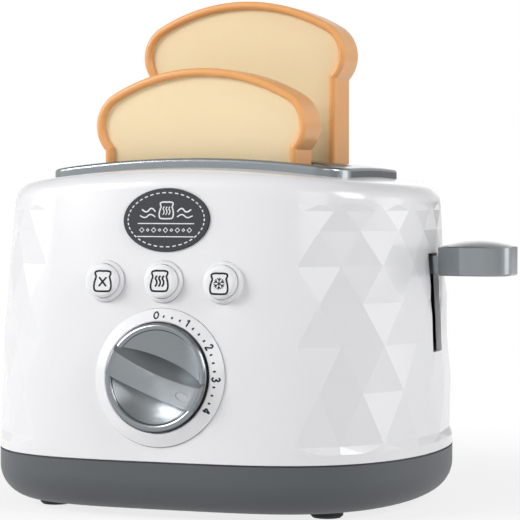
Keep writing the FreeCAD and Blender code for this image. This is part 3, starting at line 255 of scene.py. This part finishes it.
DARK_SILVER = finish("dark_silver_cap", "metal_paint",
                     {"Colour": (0.13, 0.14, 0.15, 1), "Flake Colour": (0.17, 0.18, 0.19, 1),
                      "Gloss": 0.22},
                     relief=0.02, Metallic=0.7, Coat_Weight=0.4, Coat_Roughness=0.1)
WELL_DARK = finish("well_dark", "moulded_skin",
                   {"Colour": (0.12, 0.125, 0.13, 1), "Cloud Colour": (0.09, 0.09, 0.1, 1),
                    "Gloss": 0.45}, relief=0.05)
CRUST = finish("crust_baked", "moulded_skin",
               {"Colour": (0.87, 0.43, 0.155, 1), "Cloud Colour": (0.77, 0.35, 0.11, 1),
                "Cloud Scale": 30.0, "Cloud Share": 0.5, "Gloss": 0.36, "Gloss Spread": 0.12},
               relief=0.06, Subsurface_Weight=0.08, Subsurface_Scale=0.004)
CRUMB = finish("crumb_soft", "moulded_skin",
               {"Colour": (0.95, 0.77, 0.49, 1), "Cloud Colour": (0.92, 0.71, 0.42, 1),
                "Cloud Scale": 26.0, "Cloud Share": 0.45, "Gloss": 0.5, "Gloss Spread": 0.1,
                "Peel Scale": 700.0},
               relief=0.08, Subsurface_Weight=0.08, Subsurface_Scale=0.004)
INNER = finish("inner_plain", "moulded_skin",
               {"Colour": (0.5, 0.51, 0.53, 1), "Cloud Colour": (0.42, 0.43, 0.45, 1), "Gloss": 0.5},
               relief=0.05)
STEEL = finish("bright_steel", "metal_paint",
               {"Colour": (0.62, 0.62, 0.63, 1), "Flake Colour": (0.7, 0.7, 0.71, 1), "Gloss": 0.25},
               relief=0.02, Metallic=1.0)
CHARCOAL = finish("badge_charcoal", "moulded_skin",
                  {"Colour": (0.028, 0.031, 0.036, 1), "Cloud Colour": (0.022, 0.025, 0.029, 1),
                   "Gloss": 0.42}, relief=0.03, Specular_IOR_Level=0.3)
INK = finish("dark_green_ink", "moulded_skin",
             {"Colour": (0.012, 0.03, 0.032, 1), "Cloud Colour": (0.02, 0.035, 0.036, 1), "Gloss": 0.5},
             relief=0.02, Specular_IOR_Level=0.2)
BLACK_INK = finish("black_ink", "moulded_skin",
                   {"Colour": (0.012, 0.013, 0.014, 1), "Cloud Colour": (0.02, 0.02, 0.02, 1),
                    "Gloss": 0.5}, relief=0.02, Specular_IOR_Level=0.2)
WHITE_INK = finish("white_ink", "moulded_skin",
                   {"Colour": (0.82, 0.83, 0.84, 1), "Cloud Colour": (0.8, 0.81, 0.82, 1),
                    "Gloss": 0.5}, relief=0.02)

# The springs aren't here, because their copies take the places of their nodes.
NODE_FINISH = {
    "housing_shell": WHITE, "base_tray": BASE_GREY, "rubber_feet": RUBBER, "base_screws": STEEL,
    "top_trim": SILVER, "front_well": WELL_DARK, "rear_well": WELL_DARK, "lever_arm": SILVER,
    "lever_knob": SILVER, "lever_cap": DARK_SILVER, "guide_rods": STEEL,
    "latch_pin": STEEL, "latch_hook": INNER, "dial_ring": WHITE, "dial_knob": DIAL_METAL,
    "dial_marker": MARKER_PAINTED_HIGHLIGHT, "dial_shaft": STEEL, "timer_case": INNER, "carriage_yoke": INNER,
    "front_shelf": INNER, "rear_shelf": INNER, "button_guide_plate": INNER, "badge_plate": CHARCOAL,
}
for side in ("left", "middle", "right"):
    NODE_FINISH["button_bezel_" + side] = BUTTON_WHITE
    NODE_FINISH["button_cap_" + side] = BUTTON_WHITE
for side in ("front", "rear"):
    NODE_FINISH[side + "_slice_crust"] = CRUST
    NODE_FINISH[side + "_slice_front_crumb"] = CRUMB
    NODE_FINISH[side + "_slice_back_crumb"] = CRUMB
for name, material in NODE_FINISH.items():
    paint(frame["nodes"][name].data, material)


# ------------------------------------------------------------------ places on the front face
# Over the first FACE_SPAN of height above the seam, the face leans in by FACE_LEAN and curves in by
# FACE_CURVE more.
SEAM_HEIGHT, SEAM_HALF_DEPTH = 25.0, 85.4
FACE_SPAN, FACE_LEAN, FACE_CURVE = 100.0, 9.5, 2.0


def half_depth_at(z):
    """Half of the housing's depth at a height."""
    rise = (z - SEAM_HEIGHT) / FACE_SPAN
    return SEAM_HALF_DEPTH - FACE_LEAN * rise - FACE_CURVE * rise ** 2


# The middle of the housing's plan, found from the dial's pivot, which lies on the front face.
DIAL_X, DIAL_Y, DIAL_HEIGHT = (place / MM for place in DIAL_JOINT["pos_m"])
HOUSING_X, HOUSING_Y = DIAL_X, DIAL_Y + half_depth_at(DIAL_HEIGHT)


def face_place(z, x=0.0, out=0.0):
    """Frame on the front face: X to the right, Y up the face, Z straight out; millimetres in."""
    tilt = math.atan((FACE_LEAN + 2 * FACE_CURVE * (z - SEAM_HEIGHT) / FACE_SPAN) / FACE_SPAN)
    spot = Matrix.Translation(Vector((HOUSING_X + x, HOUSING_Y - half_depth_at(z), z)) * MM)
    return spot @ Matrix.Rotation(math.pi / 2 - tilt, 4, "X") @ Matrix.Translation((0, 0, out * MM))


def as_piece(name, mesh, material, place, body):
    """Put a mesh in its place, give it its finish, and let it ride on a body."""
    mesh.transform(place)
    piece = bpy.data.objects.new(name, mesh)
    scene.collection.objects.link(piece)
    paint(mesh, material)
    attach(piece, body)
    return piece


def mesh_of_curve(curve):
    """The mesh that a curve makes."""
    holder = bpy.data.objects.new("holder", curve)
    scene.collection.objects.link(holder)
    mesh = bpy.data.meshes.new_from_object(holder)
    bpy.data.objects.remove(holder)
    return mesh


def join_meshes(meshes):
    """One mesh of several."""
    joined = bmesh.new()
    for mesh in meshes:
        joined.from_mesh(mesh)
    result = bpy.data.meshes.new("joined")
    joined.to_mesh(result)
    joined.free()
    return result


STROKE_BEVEL_STEPS, STROKE_CURVE_STEPS, STROKE_FLATNESS = 2, 5, 0.12
# How far the middle of each print lies above its surface.
PRINT_LIFT = 0.05


def stroke(points, width, closed=False, smooth=True):
    """A flat printed line through points in millimetres, a tube pressed nearly flat."""
    curve = bpy.data.curves.new("stroke", "CURVE")
    curve.dimensions = "3D"
    curve.bevel_depth = width / 2 * MM
    curve.bevel_resolution = STROKE_BEVEL_STEPS
    curve.resolution_u = STROKE_CURVE_STEPS
    curve.use_fill_caps = True
    line = curve.splines.new("BEZIER" if smooth else "POLY")
    if smooth:
        line.bezier_points.add(len(points) - 1)
        for knot, point in zip(line.bezier_points, points):
            knot.co = Vector((point[0], point[1], 0)) * MM
            knot.handle_left_type = knot.handle_right_type = "AUTO"
    else:
        line.points.add(len(points) - 1)
        for knot, point in zip(line.points, points):
            knot.co = (point[0] * MM, point[1] * MM, 0, 1)
    line.use_cyclic_u = closed
    mesh = mesh_of_curve(curve)
    mesh.transform(Matrix.Diagonal((1, 1, STROKE_FLATNESS, 1)))
    return mesh


def moved(points, x=0.0, y=0.0, scale=1.0):
    """The points scaled about nought, then moved."""
    return [(px * scale + x, py * scale + y) for px, py in points]


# ------------------------------------------------------------------ spring copies
# Each spring that deforms: its joint's name, the way its free end points, and the joint's travel.
SPRINGS = {row["node"]: (joint["name"], -Vector(joint["axis"]), joint["range_m"][1] / MM)
           for joint in frame["joints"] for row in joint.get("deforming_nodes", ())}


def build_springs():
    """Steel copies of the wire coils that ride on the housing in place of their nodes."""
    for node, (joint, away, travel) in SPRINGS.items():
        source = frame["nodes"][node]
        mesh = source.data.copy()
        coils = as_piece(node + "_coils", mesh, STEEL, source.matrix_world.copy(), "housing")
        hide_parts(node)
        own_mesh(coils)


build_springs()


# ------------------------------------------------------------------ scale round the dial
# The ring's face starts RING_EDGE proud at RING_RADIUS and rises by RING_RISE per unit inwards.
RING_RADIUS, RING_EDGE, RING_RISE = 29.1, 0.6, 2.6 / 4.95
# Angles in degrees from the right-hand side, anticlockwise.
NUMERALS = {"0": 93.9, "1": 61.4, "2": 30.3, "3": -0.3, "4": -30.7}
NUMERAL_RADIUS, NUMERAL_LINE, NUMERAL_SIZE, NUMERAL_TILT = 26.1, 0.68, 0.92, 7.0
TICK_RADIUS, TICK_REACH, TICK_LINE, TICK_SHARES = 25.6, 0.5, 0.75, (0.24, 0.5, 0.76)
# Strokes of each digit: whether the stroke is curved, and its points.
DIGITS = {
    "0": [(True, [(0, 1.55), (0.95, 0.6), (0.95, -0.6), (0, -1.55), (-0.95, -0.6), (-0.95, 0.6)])],
    "1": [(False, [(-0.7, 0.85), (-0.2, 1.2), (0.25, 1.5)]), (False, [(0.2, 1.6), (0.2, 0), (0.2, -1.6)])],
    "2": [(True, [(-0.85, 0.85), (-0.05, 1.55), (0.75, 0.85), (0.3, 0.0), (-0.85, -1.5)]),
          (False, [(-0.95, -1.5), (0.95, -1.5)])],
    "3": [(True, [(-0.8, 1.1), (0.0, 1.55), (0.75, 0.85), (-0.05, 0.12)]),
          (True, [(-0.05, 0.12), (0.9, -0.7), (0.0, -1.55), (-0.9, -1.05)])],
    "4": [(False, [(0.4, -1.55), (0.4, 0), (0.4, 1.5)]),
          (False, [(0.35, 1.5), (-0.35, 0.4), (-1.0, -0.65)]),
          (False, [(-1.05, -0.7), (0, -0.7), (1.05, -0.7)])],
}


def lay_on_ring(mesh):
    """Lift flat print onto the ring's sloping face."""
    for corner in mesh.vertices:
        radius = math.hypot(corner.co.x, corner.co.y) / MM
        corner.co.z += (RING_EDGE + PRINT_LIFT + (RING_RADIUS - radius) * RING_RISE) * MM


def numeral(text):
    """A digit drawn in strokes round its own middle; only the nought is closed."""
    return join_meshes([stroke(moved(points, scale=NUMERAL_SIZE), NUMERAL_LINE, text == "0", curved)
                        for curved, points in DIGITS[text]])


def build_dial_scale():
    """Numerals that face outwards round the ring, tilted a little near the top, and ticks between."""
    marks = []
    for text, angle in NUMERALS.items():
        mesh = numeral(text)
        spin = math.radians(angle)
        tilt = math.radians(NUMERAL_TILT * max(0.0, math.sin(spin)) - 90.0)
        mesh.transform(Matrix.Rotation(spin, 4, "Z") @ Matrix.Translation((NUMERAL_RADIUS * MM, 0, 0))
                       @ Matrix.Rotation(tilt, 4, "Z"))
        marks.append(mesh)
    angles = list(NUMERALS.values())
    for start, stop in zip(angles, angles[1:]):
        for share in TICK_SHARES:
            spin = math.radians(start + (stop - start) * share)
            ends = [(radius * math.cos(spin), radius * math.sin(spin))
                    for radius in (TICK_RADIUS - TICK_REACH, TICK_RADIUS + TICK_REACH)]
            marks.append(stroke(ends, TICK_LINE, smooth=False))
    print_mesh = join_meshes(marks)
    lay_on_ring(print_mesh)
    as_piece("dial_scale_print", print_mesh, INK, face_place(DIAL_HEIGHT), "housing")


build_dial_scale()


# ------------------------------------------------------------------ button pictograms
BUTTON_HEIGHT, BUTTON_PROUD = 100.0, 4.8
# Each button's distance from the middle, then how far its mark is moved sideways and up.
BUTTON_PLACES = {"left": (-26.7, 0.8, -0.4), "middle": (0.0, 0.0, 0.0), "right": (26.7, 0.0, -0.8)}
TOAST_SIDE = [(2.6, 4.15), (3.5, 3.7), (3.45, 2.8), (3.1, 1.9), (3.45, 0.6), (3.85, -1.2), (3.8, -3.1),
              (3.3, -4.05), (2.2, -4.3)]
TOAST = [(0, 4.25)] + TOAST_SIDE + [(0, -4.35)] + [(-x, y) for x, y in reversed(TOAST_SIDE)]
HEAT_WAVE = [(0.35, 2.2), (-0.3, 1.1), (0.3, -0.1), (0.3, -1.3), (-0.35, -2.4)]
HEAT_WAVE_GAP = 1.55
CROSS_REACH, CROSS_TOP, CROSS_FOOT = 1.7, 1.65, -2.2
SNOWFLAKE_REACH, SNOWFLAKE_LINE, SNOWFLAKE_ARMS = 2.5, 0.42, 6
BRANCH_START, BRANCH_END, BRANCH_SPREAD = 0.5, 0.9, 0.36
TOAST_LINE, PICTOGRAM_LINE = 0.82, 0.8


def snowflake(reach):
    """Six arms, each with two short branches."""
    branch = (reach * BRANCH_START, 0)
    spread = reach * BRANCH_SPREAD
    arm = [((0, 0), (reach, 0)), (branch, (reach * BRANCH_END, spread)),
           (branch, (reach * BRANCH_END, -spread))]
    lines = []
    for step in range(SNOWFLAKE_ARMS):
        turn = Matrix.Rotation(math.radians(360 / SNOWFLAKE_ARMS * step + 90), 2)
        for points in arm:
            ends = [tuple(turn @ Vector(point)) for point in points]
            lines.append(stroke(ends, SNOWFLAKE_LINE, smooth=False))
    return lines


def build_pictograms():
    """A slice of toast on each button, with a cross, heat waves or a snowflake in it."""
    inner = {
        "left": [stroke([(-CROSS_REACH, start), (CROSS_REACH, stop)], PICTOGRAM_LINE, smooth=False)
                 for start, stop in ((CROSS_FOOT, CROSS_TOP), (CROSS_TOP, CROSS_FOOT))],
        "middle": [stroke(moved(HEAT_WAVE, x), PICTOGRAM_LINE)
                   for x in (-HEAT_WAVE_GAP, 0, HEAT_WAVE_GAP)],
        "right": snowflake(SNOWFLAKE_REACH),
    }
    for side, (x, aside, up) in BUTTON_PLACES.items():
        mark = join_meshes([stroke(TOAST, TOAST_LINE, closed=True)] + inner[side])
        mark.transform(Matrix.Translation((aside * MM, up * MM, 0)))
        as_piece("button_mark_" + side, mark, BLACK_INK,
                 face_place(BUTTON_HEIGHT, x, BUTTON_PROUD + PRINT_LIFT), "button_" + side)


build_pictograms()


# ------------------------------------------------------------------ badge border and ornament
BADGE_HEIGHT, BADGE_PROUD = 126.0, 0.8
STITCHES, STITCH_LINE, STITCH_REACH, OVAL_HALF_WIDTH, OVAL_HALF_HEIGHT = 38, 0.5, 0.28, 17.3, 11.5
BADGE_TOAST_UP, BADGE_TOAST_SIZE, BADGE_TOAST_LINE = 4.0, 0.82, 0.62
STEAM_GAP, STEAM_UP, STEAM_SIZE, STEAM_LINE = 1.3, 3.9, 0.75, 0.48
# The wavy lines on the right of the toast, each with its width. Those on the left mirror them.
WAVES = (([(4.9, 3.4), (6.9, 4.8), (9.0, 3.3), (11.2, 4.3)], 0.62),
         ([(4.9, 1.2), (7.2, 2.2), (9.6, 0.9), (12.0, 1.7)], 0.55))
RULE_REACH, RULE_LINE, RULE_PLACES = 12.8, 0.45, (-1.65, -7.2)
DIAMONDS_EACH_SIDE, DIAMOND_PITCH, DIAMOND_UP, DIAMOND_LINE = 4, 2.7, -4.4, 0.42
LARGE_DIAMOND, SMALL_DIAMOND = 1.0, 0.6


def diamond(x, y, reach):
    """A small square outline that stands on its corner."""
    return stroke([(x - reach, y), (x, y + reach), (x + reach, y), (x, y - reach)], DIAMOND_LINE,
                  closed=True, smooth=False)


def oval_border():
    """The dashes of the badge's stitched border."""
    dashes = []
    for step in range(STITCHES):
        points = []
        for part in (-STITCH_REACH, 0.0, STITCH_REACH):
            turn = 2 * math.pi * (step + part) / STITCHES
            points.append((OVAL_HALF_WIDTH * math.cos(turn), OVAL_HALF_HEIGHT * math.sin(turn)))
        dashes.append(stroke(points, STITCH_LINE))
    return dashes


def build_badge_print():
    """Border, toast with steam, wavy lines, two rules and a row of diamonds. It has no words."""
    marks = oval_border()
    marks.append(stroke(moved(TOAST, 0, BADGE_TOAST_UP, BADGE_TOAST_SIZE), BADGE_TOAST_LINE, closed=True))
    for x in (-STEAM_GAP, 0, STEAM_GAP):
        marks.append(stroke(moved(HEAT_WAVE, x, STEAM_UP, STEAM_SIZE), STEAM_LINE))
    for sign in (-1, 1):
        for points, width in WAVES:
            marks.append(stroke([(sign * x, y) for x, y in points], width))
    for y in RULE_PLACES:
        marks.append(stroke([(-RULE_REACH, y), (RULE_REACH, y)], RULE_LINE, smooth=False))
    for step in range(-DIAMONDS_EACH_SIDE, DIAMONDS_EACH_SIDE + 1):
        reach = LARGE_DIAMOND if step % 2 == 0 else SMALL_DIAMOND
        marks.append(diamond(step * DIAMOND_PITCH, DIAMOND_UP, reach))
    as_piece("badge_print", join_meshes(marks), WHITE_INK,
             face_place(BADGE_HEIGHT, out=BADGE_PROUD + PRINT_LIFT), "housing")


build_badge_print()


# ------------------------------------------------------------------ studio
AMBIENT_COLOUR = (0.04, 0.04, 0.0408, 1)
PURE_WHITE = (1, 1, 1, 1)
# The room's soft glows: azimuth, elevation, sharpness and strength. Their sum stops at ROOM_WHITE.
ROOM_BASE, ROOM_WHITE = 0.15, 1.0
ROOM_GLOWS = (
    (-160.0, 3.0, 20.0, 1.4),
    (20.0, 3.0, 2.0, 0.55),
    (-100.0, 5.0, 2.5, 0.7),
    (-45.0, 25.0, 8.0, 2.2),
    (116.0, 8.0, 10.0, 3.4),
)
# Near the toaster only FLOOR_GLOW of the floor's look is glow, so that its shadow stays. Beyond
# FLOOR_MELT_END it is all glow, and from FLOOR_FAR_START it goes over to the tone of the walls.
FLOOR_PAINT, FLOOR_SIDES = (0.88, 0.88, 0.89, 1), 96
FLOOR_GLOW, FLOOR_MELT_START, FLOOR_MELT_END = 0.8, 0.13, 0.36
FLOOR_RADIUS, FLOOR_FAR_START, FLOOR_FAR_END = 12.0, 1.2, 9.0
# Name, azimuth and elevation, distance from LAMP_AIM, width and height, and power in watts.
LAMP_AIM = Vector((0, 0, 0.08))
LAMPS = (
    ("key_front_left", (-45.0, 28.0), 1.9, (0.8, 0.8), 22.2),
    ("side_left", (-75.0, 20.0), 1.9, (0.8, 0.8), 6.4),
    ("fill_right", (75.0, 30.0), 1.9, (0.8, 0.8), 14.0),
    ("low_right", (112.0, 10.0), 1.9, (1.0, 0.8), 4.6),
    ("fill_front_right", (35.0, 25.0), 1.9, (0.8, 0.8), 3.8),
    ("top_soft", (0.0, 88.0), 1.6, (1.6, 1.4), 2.2),
    ("back_soft", (180.0, 25.0), 2.2, (2.2, 1.6), 4.5),
)


def heading(azimuth, elevation):
    """Unit vector: azimuth in degrees from the dial side towards the lever end, elevation upwards."""
    turn, rise = math.radians(azimuth), math.radians(elevation)
    return Vector((math.sin(turn) * math.cos(rise), -math.cos(turn) * math.cos(rise), math.sin(rise)))


def seen_directly(tree):
    """One for camera, glossy and transmission rays, and nought for the light that falls on things."""
    path = tree.nodes.new("ShaderNodeLightPath").outputs
    mirrored = maths(tree, "MAXIMUM", path["Is Glossy Ray"], path["Is Transmission Ray"])
    return maths(tree, "MAXIMUM", path["Is Camera Ray"], mirrored)


def build_room():
    """Brightness of the room in a direction: a white back wall, soft bright sides, a dim ceiling."""
    tree, given, made = make_group("studio_light", [("Direction", "Vector", (0.0, 0.0, 1.0))],
                                   [("Brightness", "Float")])
    room = ROOM_BASE
    for azimuth, elevation, sharpness, strength in ROOM_GLOWS:
        facing = tree.nodes.new("ShaderNodeVectorMath")
        facing.operation = "DOT_PRODUCT"
        facing.inputs[1].default_value = heading(azimuth, elevation)
        wire(tree, (given["Direction"], facing.inputs[0]))
        near = maths(tree, "POWER", maths(tree, "MAXIMUM", facing.outputs["Value"], 0.0), sharpness)
        room = maths(tree, "ADD", maths(tree, "MULTIPLY", near, strength), room)
    wire(tree, (maths(tree, "MINIMUM", room, ROOM_WHITE), made["Brightness"]))
    return tree


def room_light(tree, direction):
    """The room's brightness in the direction that a socket gives."""
    source = tree.nodes.new("ShaderNodeGroup")
    source.node_tree = ROOM
    wire(tree, (direction, source.inputs["Direction"]))
    return source.outputs["Brightness"]


def melt(tree, distance, start, stop, near, far):
    """A value that goes smoothly from near to far between two distances."""
    step = tree.nodes.new("ShaderNodeMapRange")
    step.interpolation_type = "SMOOTHSTEP"
    wire(tree, (distance, step.inputs["Value"]))
    for label, value in (("From Min", start), ("From Max", stop), ("To Min", near), ("To Max", far)):
        step.inputs[label].default_value = value
    return step.outputs["Result"]


def build_floor():
    """Pale floor: it keeps the shadow near the toaster, turns white, then meets the room's walls."""
    mesh = bpy.data.meshes.new("studio_floor")
    sheet = bmesh.new()
    bmesh.ops.create_circle(sheet, cap_ends=True, segments=FLOOR_SIDES, radius=FLOOR_RADIUS)
    sheet.to_mesh(mesh)
    sheet.free()
    floor = bpy.data.objects.new("studio_floor", mesh)
    scene.collection.objects.link(floor)
    material = bpy.data.materials.new("floor_white")
    material.use_nodes = True
    tree = material.node_tree
    tree.nodes.clear()
    diffuse = tree.nodes.new("ShaderNodeBsdfDiffuse")
    diffuse.inputs["Color"].default_value = FLOOR_PAINT
    glow = tree.nodes.new("ShaderNodeEmission")
    mix = tree.nodes.new("ShaderNodeMixShader")
    away, toward = (tree.nodes.new("ShaderNodeVectorMath") for _ in range(2))
    away.operation, toward.operation = "LENGTH", "NORMALIZE"
    out = tree.nodes.new("ShaderNodeOutputMaterial")
    place = tree.nodes.new("ShaderNodeTexCoord").outputs["Object"]
    wire(tree, (place, away.inputs[0]), (place, toward.inputs[0]))
    distance = away.outputs["Value"]
    far = melt(tree, distance, FLOOR_FAR_START, FLOOR_FAR_END, 0.0, 1.0)
    wall = blend_colour(tree, far, PURE_WHITE, room_light(tree, toward.outputs[0]))
    lit = melt(tree, distance, FLOOR_MELT_START, FLOOR_MELT_END, FLOOR_GLOW, 1.0)
    share = maths(tree, "MULTIPLY", seen_directly(tree), lit)
    wire(tree, (wall, glow.inputs["Color"]), (share, mix.inputs[0]), (diffuse.outputs[0], mix.inputs[1]),
         (glow.outputs[0], mix.inputs[2]), (mix.outputs[0], out.inputs["Surface"]))
    mesh.materials.append(material)


def build_world():
    """The room as it is seen, in mirrors and through things too, and an even soft light for the rest."""
    world = bpy.data.worlds.new("studio_room")
    scene.world = world
    world.use_nodes = True
    tree = world.node_tree
    tree.nodes.clear()
    toward = tree.nodes.new("ShaderNodeTexCoord").outputs["Generated"]
    colour = blend_colour(tree, seen_directly(tree), AMBIENT_COLOUR, room_light(tree, toward))
    sky = tree.nodes.new("ShaderNodeBackground")
    out = tree.nodes.new("ShaderNodeOutputWorld")
    wire(tree, (colour, sky.inputs["Color"]), (sky.outputs[0], out.inputs["Surface"]))


def soft_lamp(name, direction, distance, spread, power):
    """A rectangular lamp at some distance from LAMP_AIM, looking at it."""
    lamp = bpy.data.lights.new(name, "AREA")
    lamp.shape = "RECTANGLE"
    lamp.size, lamp.size_y = spread
    lamp.energy = power
    holder = bpy.data.objects.new(name, lamp)
    scene.collection.objects.link(holder)
    away = heading(*direction)
    holder.location = away * distance + LAMP_AIM
    holder.rotation_euler = (-away).to_track_quat("-Z", "Y").to_euler()


ROOM = build_room()
build_floor()
build_world()
for lamp_row in LAMPS:
    soft_lamp(*lamp_row)


# ------------------------------------------------------------------ camera
SENSOR_WIDTH = 36.0
PICTURE_WIDTH_PIXELS, FOCAL_LENGTH_PIXELS = 520.0, 2217.35
CAMERA_PLACE, CAMERA_DIP, CAMERA_TURN = (0.33693, -0.93751, 0.13767), 1.75, 19.76
NEAREST_SEEN, FURTHEST_SEEN = 0.01, 50.0


def build_camera():
    """The camera that sees the front and the lever end."""
    lens = bpy.data.cameras.new("camera")
    lens.sensor_width = SENSOR_WIDTH
    lens.lens = FOCAL_LENGTH_PIXELS / PICTURE_WIDTH_PIXELS * SENSOR_WIDTH
    lens.clip_start, lens.clip_end = NEAREST_SEEN, FURTHEST_SEEN
    camera = bpy.data.objects.new("camera", lens)
    scene.collection.objects.link(camera)
    camera.location = CAMERA_PLACE
    camera.rotation_euler = (math.radians(90 - CAMERA_DIP), 0, math.radians(CAMERA_TURN))
    scene.camera = camera


build_camera()
scene.view_settings.view_transform = "Standard"
